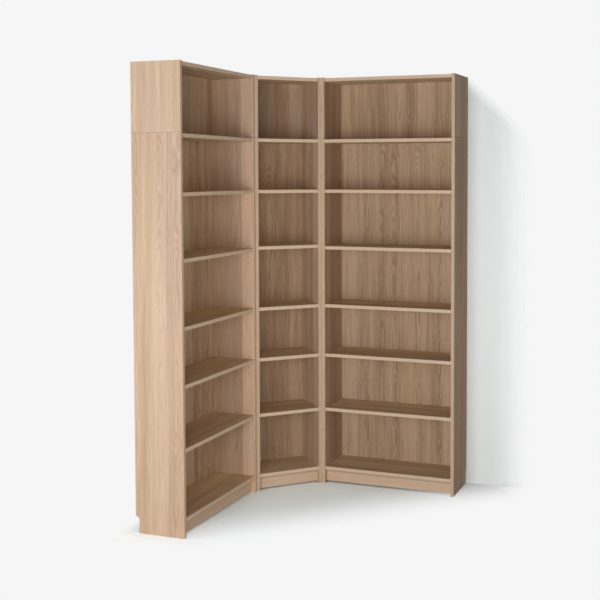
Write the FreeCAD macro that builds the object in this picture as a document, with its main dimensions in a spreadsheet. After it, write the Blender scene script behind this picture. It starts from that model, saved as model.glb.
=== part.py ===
import FreeCAD, Part
import math
import os
import Sketcher
from FreeCAD import Placement, Rotation, Vector

# L-shaped bookcase for a room corner: two wide bookcases stand along the two walls and a narrow
# one closes the corner at 45 degrees. Each has a height extension on top. Millimetres, +Z up,
# +X along the back wall to the right, +Y towards the back wall, origin on the floor under the
# middle of the square that the three bookcases cover.
# Each bookcase is built in its own frame: x = 0 in the middle of its width, y = 0 at the front
# edges of its sides, y = depth at the wall, z = 0 on the floor.

sizes = {
    # Bookcases and how they stand
    "depth": 280,
    "wide_width": 800,
    "narrow_width": 400,
    "unit_gap": 1,
    # Boards
    "side_thickness": 19,
    "board_thickness": 19,
    "board_setback": 4,
    "edge_radius": 1,
    # Back panels, which sit in rebates of the sides
    "back_inset": 16,
    "back_thickness": 3,
    "rebate_width": 8,
    "back_play": 0.5,
    "back_trim": 2,
    # Heights, from the floor up
    "plinth_clearance": 9,
    "plinth_height": 70,
    "plinth_setback": 26,
    "space_1": 330,
    "space_2": 301,
    "space_3": 271,
    "space_4": 320,
    "space_5": 310,
    "space_6": 271,
    "narrow_shelf_3_rise": 9,
    "top_drop": 5,
    "extension_height": 350,
    "cap_drop": 3,
    # Recess at the foot of each side for the skirting board of the room
    "skirting_depth": 21,
    "skirting_height": 86,
    "skirting_radius": 20,
    # Loose shelves on pegs
    "shelf_end_play": 1,
    "shelf_back_play": 1,
    "peg_diameter": 5,
    "peg_reach": 8,
    "peg_in_side": 9,
    "peg_collar_diameter": 8,
    "peg_collar_thickness": 0.6,
    "peg_front": 37,
    "peg_rear_inset": 36,
    "peg_drop": 1,
    "peg_seat_play": 0.2,
    "peg_slot_play": 0.8,
    "peg_chamfer": 0.5,
    "peg_hole_pitch": 32,
    "peg_hole_count": 5,
    "peg_holes_below": 2,
    # Cam fasteners that hold the fixed boards between the sides
    "fastener_front": 50,
    "fastener_rear_inset": 44,
    "cam_diameter": 15,
    "cam_height": 12.5,
    "cam_bore_play": 1.5,
    "cam_setback": 24,
    "cam_cross": 8,
    "bolt_thread_diameter": 6,
    "bolt_thread_length": 11,
    "bolt_shank_diameter": 4.5,
    "bolt_head_diameter": 7,
    "bolt_head_length": 3,
    # Wood dowels
    "dowel_diameter": 8,
    "dowel_length": 30,
    "dowel_in_side": 10,
    "dowel_chamfer": 1,
    "plinth_dowel_inset": 15,
    "stack_dowel_front": 80,
    "stack_dowel_rear_inset": 74,
    # Play around every fastener, on the radius and at the end of its hole
    "hole_play": 0.1,
    "end_play": 1,
    # Nails of the back panels
    "nail_diameter": 1.5,
    "nail_length": 18,
    "nail_head_diameter": 4,
    "nail_head_thickness": 0.8,
    "nail_edge": 25,
    "nail_count_case": 13,
    "nail_count_extension": 3,
    "nail_count_wide": 6,
    "nail_count_narrow": 3,
    # Bent steel brackets in the wedges between the bookcases
    "bracket_start": 40,
    "bracket_end": 85,
    "bracket_height": 32,
    "bracket_thickness": 1.5,
    "bracket_low": 300,
    "bracket_below_seam": 220,
    "bracket_above_seam": 170,
    "bracket_hole_inset": 13,
    "bracket_hole_spacing": 16,
    # Brackets on top that tie the wide bookcases to the wall
    "wall_bracket_width": 40,
    "wall_bracket_hold": 39,
    "wall_bracket_rise": 28,
    "wall_bracket_thickness": 2,
    "wall_bracket_bend": 1.8,
    "wall_bracket_inset": 240,
    "wall_hole_diameter": 6,
    "wall_hole_height": 18,
    "wall_screw_spacing": 22,
    "wall_screw_inset": 15,
    # Screws of both kinds of bracket
    "screw_diameter": 3.5,
    "screw_length": 14,
    "screw_head_diameter": 7,
    "screw_head_height": 2,
    "screw_head_rounding": 1.2,
    "screw_cross": 4,
    # Driver crosses of screws and cams, and the points of screws and nails
    "cross_width": 1,
    "cross_depth": 1,
    "point_radius": 0.3,
}

doc = FreeCAD.newDocument("corner_bookcase")
sheet = doc.addObject("Spreadsheet::Sheet", "Sizes")
for row, (name, number) in enumerate(sizes.items(), start=1):
    sheet.set("A%d" % row, name)
    sheet.set("B%d" % row, str(number))
    sheet.setAlias("B%d" % row, name)
doc.recompute()


class Size(float):
    """A number that remembers the sheet expression it comes from."""

    def __new__(cls, number, text=None):
        item = float.__new__(cls, number)
        item.text = text or repr(float(number))
        return item

    def combine(self, sign, other, number):
        other = other if isinstance(other, Size) else Size(other)
        return Size(number, "(%s %s %s)" % (self.text, sign, other.text))

    def __add__(self, other):
        return self.combine("+", other, float(self) + float(other))

    def __radd__(self, other):
        return Size(other) + self

    def __sub__(self, other):
        return self.combine("-", other, float(self) - float(other))

    def __rsub__(self, other):
        return Size(other) - self

    def __mul__(self, other):
        return self.combine("*", other, float(self) * float(other))

    def __rmul__(self, other):
        return Size(other) * self

    def __truediv__(self, other):
        return self.combine("/", other, float(self) / float(other))

    def __neg__(self):
        return Size(0) - self


class Sheet:
    """Gives each size of the sheet by its name."""

    def __getattr__(self, name):
        return Size(float(sheet.get(name)), "Sizes." + name)


size = Sheet()
zero = Size(0)


def bind(item, prop, number):
    """Bind a property to the sheet where its size comes from there."""
    if isinstance(number, Size) and "Sizes." in number.text:
        item.setExpression(prop, number.text)


# Sketches and features

def add_sketch(body, name, plane, level):
    """A sketch on one of the body's own planes, moved to a level along the positive axis."""
    sketch = body.newObject("Sketcher::SketchObject", name)
    role = plane + "_Plane"
    support = [item for item in body.Origin.OriginFeatures if item.Role == role][0]
    sketch.AttachmentSupport = [(support, "")]
    sketch.MapMode = "FlatFace"
    offset = zero - level if plane == "XZ" else zero + level
    sketch.AttachmentOffset = Placement(Vector(0, 0, offset), Rotation())
    bind(sketch, "AttachmentOffset.Base.z", offset)
    return sketch


def fix(sketch, kind, geometry, point, number):
    """Hold a point at a distance from the sketch's origin."""
    if number == 0 and "Sizes." not in (zero + number).text:
        axis = -2 if kind == "DistanceX" else -1
        sketch.addConstraint(Sketcher.Constraint("PointOnObject", geometry, point, axis))
        return
    place = sketch.addConstraint(Sketcher.Constraint(kind, -1, 1, geometry, point, float(number)))
    bind(sketch, "Constraints[%d]" % place, number)


def add_outline(sketch, sides, rounded=(), radius=zero):
    """Draw a closed outline of upright and level lines, anticlockwise.

    sides holds ("x", position) for an upright line and ("y", position) for a level one, in turn.
    Corner i is where side i ends, and the corners named in rounded get the radius.
    """
    count = len(sides)

    def corner(index):
        pair = dict((sides[index % count], sides[(index + 1) % count]))
        return Vector(pair["x"], pair["y"], 0)

    lines = []
    trims = []
    for index in range(count):
        start = corner(index - 1)
        end = corner(index)
        along = (end - start).normalize()
        if (index - 1) % count in rounded:
            start = start + along * float(radius)
        if index in rounded:
            end = end - along * float(radius)
        lines.append(sketch.addGeometry(Part.LineSegment(start, end)))
        trims.append((start, end))
    for index, (kind, position) in enumerate(sides):
        upright = kind == "x"
        turn = "Vertical" if upright else "Horizontal"
        sketch.addConstraint(Sketcher.Constraint(turn, lines[index]))
        fix(sketch, "DistanceX" if upright else "DistanceY", lines[index], 1, position)
    for index in range(count):
        following = (index + 1) % count
        if index not in rounded:
            joint = Sketcher.Constraint("Coincident", lines[index], 2, lines[following], 1)
            sketch.addConstraint(joint)
            continue
        first = trims[index][1]
        last = trims[following][0]
        centre = first + last - corner(index)
        middle = centre + (corner(index) - centre).normalize() * float(radius)
        arc = sketch.addGeometry(Part.Arc(first, middle, last))
        sketch.addConstraint(Sketcher.Constraint("Tangent", lines[index], 2, arc, 1))
        sketch.addConstraint(Sketcher.Constraint("Tangent", arc, 2, lines[following], 1))
        bend = sketch.addConstraint(Sketcher.Constraint("Radius", arc, float(radius)))
        bind(sketch, "Constraints[%d]" % bend, radius)


def add_circles(sketch, points, diameter):
    """Draw equal circles round the given points."""
    first = None
    for x, y in points:
        centre = Vector(float(x), float(y), 0)
        circle = sketch.addGeometry(Part.Circle(centre, Vector(0, 0, 1), float(diameter) / 2))
        fix(sketch, "DistanceX", circle, 3, x)
        fix(sketch, "DistanceY", circle, 3, y)
        if first is None:
            first = circle
            width = sketch.addConstraint(Sketcher.Constraint("Diameter", circle, float(diameter)))
            bind(sketch, "Constraints[%d]" % width, diameter)
        else:
            sketch.addConstraint(Sketcher.Constraint("Equal", first, circle))


def add_pad(body, sketch, length, symmetric=False):
    feature = body.newObject("PartDesign::Pad", "Pad")
    feature.Profile = sketch
    feature.SideType = "Symmetric" if symmetric else "One side"
    feature.Length = float(length)
    feature.Refine = False
    bind(feature, "Length", length)
    return feature


def add_pocket(body, sketch, depth=None, along=False):
    """Cut to a depth against the plane's normal, or along it; with no depth, right through."""
    feature = body.newObject("PartDesign::Pocket", "Pocket")
    feature.Profile = sketch
    feature.Refine = False
    if depth is None:
        feature.SideType = "Symmetric"
        feature.Type = "ThroughAll"
        return feature
    feature.Type = "Length"
    feature.Length = float(depth)
    bind(feature, "Length", depth)
    feature.Reversed = along
    return feature


def add_row(body, originals, axis, count, spacing):
    """Repeat features at an even spacing along an axis of the body."""
    feature = body.newObject("PartDesign::LinearPattern", "Row")
    feature.Originals = originals
    feature.Refine = False
    role = axis + "_Axis"
    line = [item for item in body.Origin.OriginFeatures if item.Role == role][0]
    feature.Direction = (line, [""])
    feature.Mode = "Spacing"
    feature.Offset = float(spacing)
    bind(feature, "Offset", spacing)
    feature.Occurrences = int(count)
    bind(feature, "Occurrences", count)
    body.Tip = feature
    return feature


def add_mirror(body, originals):
    """Repeat features on the other half of the bookcase's width."""
    feature = body.newObject("PartDesign::Mirrored", "Mirror")
    feature.Originals = originals
    feature.Refine = False
    plane = [item for item in body.Origin.OriginFeatures if item.Role == "YZ_Plane"][0]
    feature.MirrorPlane = (plane, [""])
    body.Tip = feature
    return feature


# Levels and positions that more than one piece uses

bottom_underside = size.plinth_clearance + size.plinth_height
rear_of_boards = size.depth - size.back_inset
board_depth = rear_of_boards - size.board_setback
shelf_spaces = [size.space_1, size.space_2, size.space_3, size.space_4, size.space_5, size.space_6]
board_undersides = [bottom_underside]
for space in shelf_spaces:
    board_undersides.append(board_undersides[-1] + size.board_thickness + space)
top_surface = board_undersides[-1] + size.board_thickness
case_height = top_surface + size.top_drop
cap_surface = case_height + size.extension_height - size.cap_drop
cap_underside = cap_surface - size.board_thickness
# Boards 0, 3 and 6 are the bottom, the fixed shelf and the top, and the others are loose
fixed_undersides = [board_undersides[0], board_undersides[3], board_undersides[6]]
half_board = size.board_thickness / 2
fastener_rear = rear_of_boards - size.fastener_rear_inset
dowel_row = (size.fastener_front + fastener_rear) / 2
peg_rear = rear_of_boards - size.peg_rear_inset
stack_dowel_rear = rear_of_boards - size.stack_dowel_rear_inset
plinth_middle = size.plinth_setback + half_board
plinth_dowel_heights = (size.plinth_clearance + size.plinth_dowel_inset,
                        bottom_underside - size.plinth_dowel_inset)
nail_first = size.skirting_height + size.nail_edge
nail_last = top_surface - size.nail_edge - size.board_thickness
extension_nail_first = case_height + size.nail_edge
extension_nail_last = cap_underside - size.nail_edge
dowel_hole = size.dowel_diameter + 2 * size.hole_play
peg_hole = size.peg_diameter + 2 * size.hole_play
nail_hole = size.nail_diameter + 2 * size.hole_play
screw_hole = size.screw_diameter + 2 * size.hole_play
bolt_bore = size.bolt_head_diameter + size.end_play
dowel_in_board = size.dowel_length - size.dowel_in_side
stack_dowel_depth = size.dowel_length / 2 + size.end_play
bracket_hole_reach = size.bracket_end - size.bracket_hole_inset
bracket_high = case_height - size.bracket_below_seam
bracket_extension = case_height + size.bracket_above_seam
wall_screw_row = rear_of_boards - size.wall_bracket_hold + size.wall_screw_inset
wedge_half_angle = 22.5
corner_start = size.depth + (size.narrow_width + 2 * size.unit_gap) * math.sqrt(0.5)
footprint = corner_start + size.wide_width
same_place = 1e-6
least_cut = 1


class Bookcase:
    """One bookcase: its width, where it stands and which sides face a wedge between bookcases.

    The narrow one stands across the corner, and the wide ones are tied to a wall.
    """

    def __init__(self, name, width, x, y, angle, wedges, narrow=False):
        self.name = name
        self.width = width
        self.inner = width - 2 * size.side_thickness
        self.x = x
        self.y = y
        self.angle = angle
        self.wedges = wedges
        self.narrow = narrow
        self.placement = Placement(Vector(x, y, 0), Rotation(Vector(0, 0, 1), angle))
        self.nail_count = size.nail_count_narrow if narrow else size.nail_count_wide
        rise = size.narrow_shelf_3_rise if narrow else zero
        self.shelf_undersides = [
            board_undersides[1],
            board_undersides[2],
            board_undersides[4] + rise,
            board_undersides[5],
        ]
        # How far a bracket's holes lie behind the front edges of this bookcase's sides
        start = size.unit_gap if narrow else math.sqrt(2) * size.unit_gap
        self.bracket_hole = bracket_hole_reach - start

    def place(self, body):
        body.Placement = self.placement
        bind(body, "Placement.Base.x", self.x)
        bind(body, "Placement.Base.y", self.y)


bookcases = [
    Bookcase("left", size.wide_width, size.depth - footprint / 2, -corner_start / 2, 90,
             wedges=(1,)),
    Bookcase("corner", size.narrow_width, (size.depth - size.wide_width) / 2,
             (size.wide_width - size.depth) / 2, 45, wedges=(-1, 1), narrow=True),
    Bookcase("right", size.wide_width, corner_start / 2, footprint / 2 - size.depth, 0,
             wedges=(-1,)),
]
pieces = []


def add_body(name, case):
    body = doc.addObject("PartDesign::Body", name)
    body.Label = name
    case.place(body)
    pieces.append(body)
    return body


# Sides

def side_blank(body, case, hand, low, height):
    """The upright board: rounded front edges and a rebate for the back panel. hand is -1 or 1."""
    outer = hand * case.width / 2
    inner = hand * case.inner / 2
    lip = inner + hand * size.rebate_width
    if hand > 0:
        sides = [("y", zero), ("x", outer), ("y", size.depth), ("x", lip),
                 ("y", rear_of_boards), ("x", inner)]
    else:
        sides = [("y", zero), ("x", inner), ("y", rear_of_boards), ("x", lip),
                 ("y", size.depth), ("x", outer)]
    sketch = add_sketch(body, "Section", "XY", low)
    add_outline(sketch, sides, rounded=(0, 5), radius=size.edge_radius)
    add_pad(body, sketch, height)


def side_holes(body, case, hand, name, points, diameter, depth):
    """Blind holes in the inner face of a side."""
    sketch = add_sketch(body, name, "YZ", hand * case.inner / 2)
    add_circles(sketch, points, diameter)
    return add_pocket(body, sketch, depth, along=hand > 0)


def side_nail_holes(body, case, hand, first, last, count):
    sketch = add_sketch(body, "NailHole", "XZ", rear_of_boards)
    add_circles(sketch, [(hand * (case.inner + size.rebate_width) / 2, first)], nail_hole)
    depth = size.nail_length - size.back_thickness + size.end_play
    hole = add_pocket(body, sketch, depth, along=True)
    add_row(body, [hole], "Z", count, (last - first) / (count - 1))


def side_bracket_holes(body, case, hand, heights):
    """Screw holes of the wedge brackets in the outer face of a side."""
    sketch = add_sketch(body, "BracketHoles", "YZ", hand * case.width / 2)
    points = []
    for height in heights:
        for side in (-1, 1):
            points.append((case.bracket_hole, height + side * size.bracket_hole_spacing / 2))
    add_circles(sketch, points, screw_hole)
    add_pocket(body, sketch, size.screw_length, along=hand < 0)


def stack_dowel_holes(body, case, hand, upwards):
    """Dowel holes in the edges where an extension stands on its bookcase."""
    middle = hand * (case.width - size.side_thickness) / 2
    sketch = add_sketch(body, "StackHoles", "XY", case_height)
    add_circles(sketch, [(middle, size.stack_dowel_front), (middle, stack_dowel_rear)],
                dowel_hole)
    add_pocket(body, sketch, stack_dowel_depth, along=upwards)


def case_side(case, hand):
    body = add_body("%s_bookcase_%s_side" % (case.name, "left" if hand < 0 else "right"), case)
    side_blank(body, case, hand, zero, case_height)
    # The recess for the skirting board runs out past the rear and the foot
    notch = add_sketch(body, "Skirting", "YZ", zero)
    front = size.depth - size.skirting_depth
    add_outline(notch, [("y", -size.skirting_radius), ("x", size.depth + size.skirting_radius),
                        ("y", size.skirting_height), ("x", front)],
                rounded=(2,), radius=size.skirting_radius)
    add_pocket(body, notch)
    lowest = size.peg_drop - size.peg_holes_below * size.peg_hole_pitch
    pegs = []
    for underside in case.shelf_undersides:
        pegs.append((size.peg_front, underside + lowest))
        pegs.append((peg_rear, underside + lowest))
    holes = side_holes(body, case, hand, "PegHoles", pegs, peg_hole,
                       size.peg_in_side + size.end_play)
    add_row(body, [holes], "Z", size.peg_hole_count, size.peg_hole_pitch)
    bolts = []
    dowels = []
    for underside in fixed_undersides:
        bolts.append((size.fastener_front, underside + half_board))
        bolts.append((fastener_rear, underside + half_board))
        dowels.append((dowel_row, underside + half_board))
    for height in plinth_dowel_heights:
        dowels.append((plinth_middle, height))
    side_holes(body, case, hand, "BoltHoles", bolts, size.bolt_thread_diameter
               + 2 * size.hole_play, size.bolt_thread_length + size.end_play)
    side_holes(body, case, hand, "DowelHoles", dowels, dowel_hole,
               size.dowel_in_side + size.end_play)
    stack_dowel_holes(body, case, hand, upwards=False)
    side_nail_holes(body, case, hand, nail_first, nail_last, size.nail_count_case)
    if hand in case.wedges:
        side_bracket_holes(body, case, hand, [size.bracket_low, bracket_high])


def extension_side(case, hand):
    body = add_body("%s_extension_%s_side" % (case.name, "left" if hand < 0 else "right"), case)
    side_blank(body, case, hand, case_height, size.extension_height)
    middle = cap_underside + half_board
    side_holes(body, case, hand, "BoltHoles",
               [(size.fastener_front, middle), (fastener_rear, middle)],
               size.bolt_thread_diameter + 2 * size.hole_play,
               size.bolt_thread_length + size.end_play)
    side_holes(body, case, hand, "DowelHole", [(dowel_row, middle)], dowel_hole,
               size.dowel_in_side + size.end_play)
    stack_dowel_holes(body, case, hand, upwards=True)
    side_nail_holes(body, case, hand, extension_nail_first, extension_nail_last,
                    size.nail_count_extension)
    if hand in case.wedges:
        side_bracket_holes(body, case, hand, [bracket_extension])


# Boards

def board_blank(body, underside, length, depth):
    """A level board with rounded front edges, symmetric about the middle of the bookcase."""
    sketch = add_sketch(body, "Section", "YZ", zero)
    front = size.board_setback
    add_outline(sketch, [("y", underside), ("x", front + depth),
                         ("y", underside + size.board_thickness), ("x", front)],
                rounded=(2, 3), radius=size.edge_radius)
    add_pad(body, sketch, length, symmetric=True)


def board_nail_x(case):
    """Where the first nail of a board lies, and the spacing of the row."""
    first = size.nail_edge + half_board - case.inner / 2
    return first, -2 * first / (case.nail_count - 1)


def fixed_board(name, case, underside):
    """A board held between the sides by cams, bolts and dowels, with the back nailed to it."""
    body = add_body(name, case)
    board_blank(body, underside, case.inner, board_depth)
    middle = underside + half_board
    end = -case.inner / 2
    rows = (size.fastener_front, fastener_rear)
    bores = add_sketch(body, "BoltBores", "YZ", end)
    add_circles(bores, [(y, middle) for y in rows], bolt_bore)
    bore_cut = add_pocket(body, bores, size.cam_setback, along=True)
    dowel = add_sketch(body, "DowelHole", "YZ", end)
    add_circles(dowel, [(dowel_row, middle)], dowel_hole)
    dowel_cut = add_pocket(body, dowel, dowel_in_board + size.end_play, along=True)
    cams = add_sketch(body, "CamBores", "XY", underside)
    add_circles(cams, [(end + size.cam_setback, y) for y in rows],
                size.cam_diameter + 2 * size.hole_play)
    cam_cut = add_pocket(body, cams, size.cam_height + size.cam_bore_play, along=True)
    add_mirror(body, [bore_cut, dowel_cut, cam_cut])
    nails = add_sketch(body, "NailHole", "XZ", rear_of_boards)
    first, spacing = board_nail_x(case)
    add_circles(nails, [(first, middle)], nail_hole)
    nail_cut = add_pocket(body, nails, size.nail_length - size.back_thickness + size.end_play,
                          along=True)
    add_row(body, [nail_cut], "X", case.nail_count, spacing)
    return body


def cap_board(case):
    """The top of the extension, which also carries the brackets that hold the wall."""
    body = fixed_board("%s_extension_top" % case.name, case, cap_underside)
    if case.narrow:
        return
    sketch = add_sketch(body, "WallBracketHoles", "XY", cap_surface)
    add_circles(sketch, wall_screw_points(case), screw_hole)
    add_pocket(body, sketch, size.screw_length)


def loose_shelf(case, number, underside):
    """A shelf that rests on four pegs, with a short slot under each end of it for each peg."""
    body = add_body("%s_shelf_%d" % (case.name, number), case)
    length = case.inner - 2 * size.shelf_end_play
    board_blank(body, underside, length, board_depth - size.shelf_back_play)
    sketch = add_sketch(body, "PegSlots", "XY", underside)
    slot_end = case.inner / 2 - size.peg_collar_thickness - size.peg_reach - size.end_play
    half_slot = (size.peg_diameter + size.peg_slot_play) / 2
    for y in (size.peg_front, peg_rear):
        add_outline(sketch, [("y", y - half_slot), ("x", case.inner / 2), ("y", y + half_slot),
                             ("x", slot_end)])
    depth = size.peg_drop + size.peg_diameter / 2 + size.peg_seat_play
    slots = add_pocket(body, sketch, depth, along=True)
    add_mirror(body, [slots])


def plinth(case):
    """The kick board between the sides, under the bottom board."""
    body = add_body("%s_bookcase_plinth" % case.name, case)
    rear = size.plinth_setback + size.board_thickness
    sketch = add_sketch(body, "Section", "YZ", zero)
    add_outline(sketch, [("y", size.plinth_clearance), ("x", rear), ("y", bottom_underside),
                         ("x", size.plinth_setback)])
    add_pad(body, sketch, case.inner, symmetric=True)
    ends = add_sketch(body, "DowelHoles", "YZ", case.inner / 2)
    add_circles(ends, [(plinth_middle, height) for height in plinth_dowel_heights], dowel_hole)
    holes = add_pocket(body, ends, dowel_in_board + size.end_play)
    add_mirror(body, [holes])


# Back panels

def back_panel(name, case, low, high, side_nails, board_middles):
    """A thin sheet in the rebates, nailed to the sides and to the rear edges of the boards."""
    body = add_body(name, case)
    half_width = case.inner / 2 + size.rebate_width - size.back_play
    section = add_sketch(body, "Section", "XY", low)
    add_outline(section, [("y", rear_of_boards), ("x", half_width),
                          ("y", rear_of_boards + size.back_thickness), ("x", -half_width)])
    add_pad(body, section, high - low)
    first, last, count = side_nails
    nail_x = (case.inner + size.rebate_width) / 2
    edges = add_sketch(body, "SideNails", "XZ", rear_of_boards)
    add_circles(edges, [(-nail_x, first), (nail_x, first)], nail_hole)
    add_row(body, [add_pocket(body, edges)], "Z", count, (last - first) / (count - 1))
    rows = add_sketch(body, "BoardNails", "XZ", rear_of_boards)
    start, spacing = board_nail_x(case)
    add_circles(rows, [(start, middle) for middle in board_middles], nail_hole)
    add_row(body, [add_pocket(body, rows)], "X", case.nail_count, spacing)


def back_panels(case):
    side_nails = (nail_first, nail_last, size.nail_count_case)
    split = top_surface - size.back_trim
    back_panel("%s_bookcase_back" % case.name, case, bottom_underside + size.back_trim, split,
               side_nails,
               [underside + half_board for underside in fixed_undersides])
    side_nails = (extension_nail_first, extension_nail_last, size.nail_count_extension)
    back_panel("%s_extension_back" % case.name, case, split + size.back_play,
               cap_surface - size.back_trim, side_nails, [cap_underside + half_board])


# Fasteners. Each kind is drawn once along +Z and set in every place where it is used.

def turned(steps, start=0, chamfer=0):
    """A stack of cylinders along +Z from (diameter, length) steps, with its ends chamfered."""
    solid = None
    height = start
    last = len(steps) - 1
    for index, (diameter, length) in enumerate(steps):
        radius = float(diameter) / 2
        base = Vector(0, 0, height)
        piece = Part.makeCylinder(radius, length, base)
        if chamfer and index in (0, last):
            end = height if index == 0 else height + length
            rims = [edge for edge in piece.Edges
                    if edge.Closed and abs(edge.CenterOfMass.z - end) < same_place]
            piece = piece.makeChamfer(chamfer, rims)
        solid = piece if solid is None else solid.fuse(piece)
        height = height + length
    return solid.removeSplitter()


def pointed(head_diameter, head_length, shank_diameter, length):
    """A headed fastener along +Z: the head ends at z = 0 and the shank runs down to a point."""
    radius = float(shank_diameter) / 2
    tip = shank_diameter
    shank = Part.makeCylinder(radius, length - tip, Vector(0, 0, tip - length))
    point = Part.makeCone(size.point_radius, radius, tip, Vector(0, 0, -length))
    head = Part.makeCylinder(float(head_diameter) / 2, head_length)
    return head.fuse([shank, point]).removeSplitter()


def make_peg():
    return turned([(size.peg_diameter, size.peg_in_side),
                   (size.peg_collar_diameter, size.peg_collar_thickness),
                   (size.peg_diameter, size.peg_reach)], chamfer=size.peg_chamfer)


def make_dowel():
    return turned([(size.dowel_diameter, size.dowel_length)], chamfer=size.dowel_chamfer)


def make_bolt():
    """Threaded end up to z = 0 at the face of the side, then the shank and the head."""
    shank = size.cam_setback - size.bolt_head_length / 2
    return turned([(size.bolt_thread_diameter, size.bolt_thread_length),
                   (size.bolt_shank_diameter, shank),
                   (size.bolt_head_diameter, size.bolt_head_length)],
                  start=-size.bolt_thread_length)


def driver_cross(length, height):
    """Two crossed slots for a screwdriver, standing on the given height."""
    width = size.cross_width
    return [Part.makeBox(length, width, size.cross_depth, Vector(-length / 2, -width / 2, height)),
            Part.makeBox(width, length, size.cross_depth, Vector(-width / 2, -length / 2, height))]


def make_cam():
    """The cam looks down with its driver cross at z = 0 and takes the bolt's head from +X."""
    radius = size.cam_diameter / 2
    cam = Part.makeCylinder(radius, size.cam_height)
    width = size.bolt_head_diameter + size.end_play
    floor = half_board - width / 2
    behind = size.bolt_head_length / 2 + size.end_play
    slot = Part.makeBox(behind + 2 * radius, width, size.cam_height,
                        Vector(-behind, -width / 2, floor))
    return cam.cut([slot] + driver_cross(size.cam_cross, 0))


def make_screw():
    screw = pointed(size.screw_head_diameter, size.screw_head_height, size.screw_diameter,
                    size.screw_length)
    rim = [edge for edge in screw.Edges
           if edge.Closed and abs(edge.CenterOfMass.z - size.screw_head_height) < same_place]
    screw = screw.makeFillet(size.screw_head_rounding, rim)
    return screw.cut(driver_cross(size.screw_cross, size.screw_head_height - size.cross_depth))


def make_nail():
    return pointed(size.nail_head_diameter, size.nail_head_thickness, size.nail_diameter,
                   size.nail_length)


def set_in(case, shape, x, y, z, direction):
    """Copy a fastener to a place in a bookcase's own frame, with its +Z along the direction."""
    turn = Rotation(Vector(0, 0, 1), Vector(*direction))
    copy = shape.copy()
    copy.Placement = case.placement.multiply(Placement(Vector(x, y, z), turn))
    return copy


def add_group(name, solids):
    """Identical fasteners share one object, each as a solid of its own."""
    group = doc.addObject("Part::Feature", name)
    group.Label = name
    group.Shape = Part.makeCompound(solids)
    pieces.append(group)


def shelf_pegs():
    peg = make_peg()
    solids = []
    for case in bookcases:
        for underside in case.shelf_undersides:
            height = underside + size.peg_drop
            for hand in (-1, 1):
                start = hand * (case.inner / 2 + size.peg_in_side)
                for y in (size.peg_front, peg_rear):
                    solids.append(set_in(case, peg, start, y, height, (-hand, 0, 0)))
    add_group("shelf_pegs", solids)


def cams_and_bolts():
    bolt = make_bolt()
    cam = make_cam()
    bolts = []
    cams = []
    for case in bookcases:
        for underside in fixed_undersides + [cap_underside]:
            for hand in (-1, 1):
                for y in (size.fastener_front, fastener_rear):
                    bolts.append(set_in(case, bolt, hand * case.inner / 2, y,
                                        underside + half_board, (-hand, 0, 0)))
                    copy = cam.copy()
                    place = Vector(hand * (case.inner / 2 - size.cam_setback), y, underside)
                    turn = Rotation(Vector(0, 0, 1), 0 if hand > 0 else 180)
                    copy.Placement = case.placement.multiply(Placement(place, turn))
                    cams.append(copy)
    add_group("cam_bolts", bolts)
    add_group("cam_locks", cams)


def wood_dowels():
    dowel = make_dowel()
    board_dowels = []
    stack_dowels = []
    for case in bookcases:
        places = [(dowel_row, underside + half_board)
                  for underside in fixed_undersides + [cap_underside]]
        places += [(plinth_middle, height) for height in plinth_dowel_heights]
        for hand in (-1, 1):
            start = hand * (case.inner / 2 + size.dowel_in_side)
            for y, z in places:
                board_dowels.append(set_in(case, dowel, start, y, z, (-hand, 0, 0)))
            middle = hand * (case.width - size.side_thickness) / 2
            for y in (size.stack_dowel_front, stack_dowel_rear):
                stack_dowels.append(set_in(case, dowel, middle, y,
                                           case_height - size.dowel_length / 2, (0, 0, 1)))
    add_group("board_dowels", board_dowels)
    add_group("extension_dowels", stack_dowels)


def spread(first, last, count):
    return [first + (last - first) * step / (count - 1) for step in range(int(count))]


def back_nails():
    nail = make_nail()
    rear = rear_of_boards + size.back_thickness
    groups = {"bookcase_back_nails": (nail_first, nail_last, size.nail_count_case,
                                      fixed_undersides),
              "extension_back_nails": (extension_nail_first, extension_nail_last,
                                       size.nail_count_extension, [cap_underside])}
    for name, (first, last, count, undersides) in groups.items():
        solids = []
        for case in bookcases:
            edge = (case.inner + size.rebate_width) / 2
            for z in spread(first, last, count):
                for x in (-edge, edge):
                    solids.append(set_in(case, nail, x, rear, z, (0, 1, 0)))
            start = board_nail_x(case)[0]
            for underside in undersides:
                for x in spread(start, -start, case.nail_count):
                    solids.append(set_in(case, nail, x, rear, underside + half_board,
                                         (0, 1, 0)))
        add_group(name, solids)


# Brackets

def wedge_frame(case, hand):
    """Where the faces of two neighbouring sides would meet, with +X along the wedge's middle.

    case is a wide bookcase and hand the side of it that faces the wedge.
    """
    tip = Vector(hand * case.width / 2, -math.sqrt(2) * size.unit_gap, 0)
    turn = Rotation(Vector(0, 0, 1), 90 - hand * wedge_half_angle)
    return case.placement.multiply(Placement(tip, turn))


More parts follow.
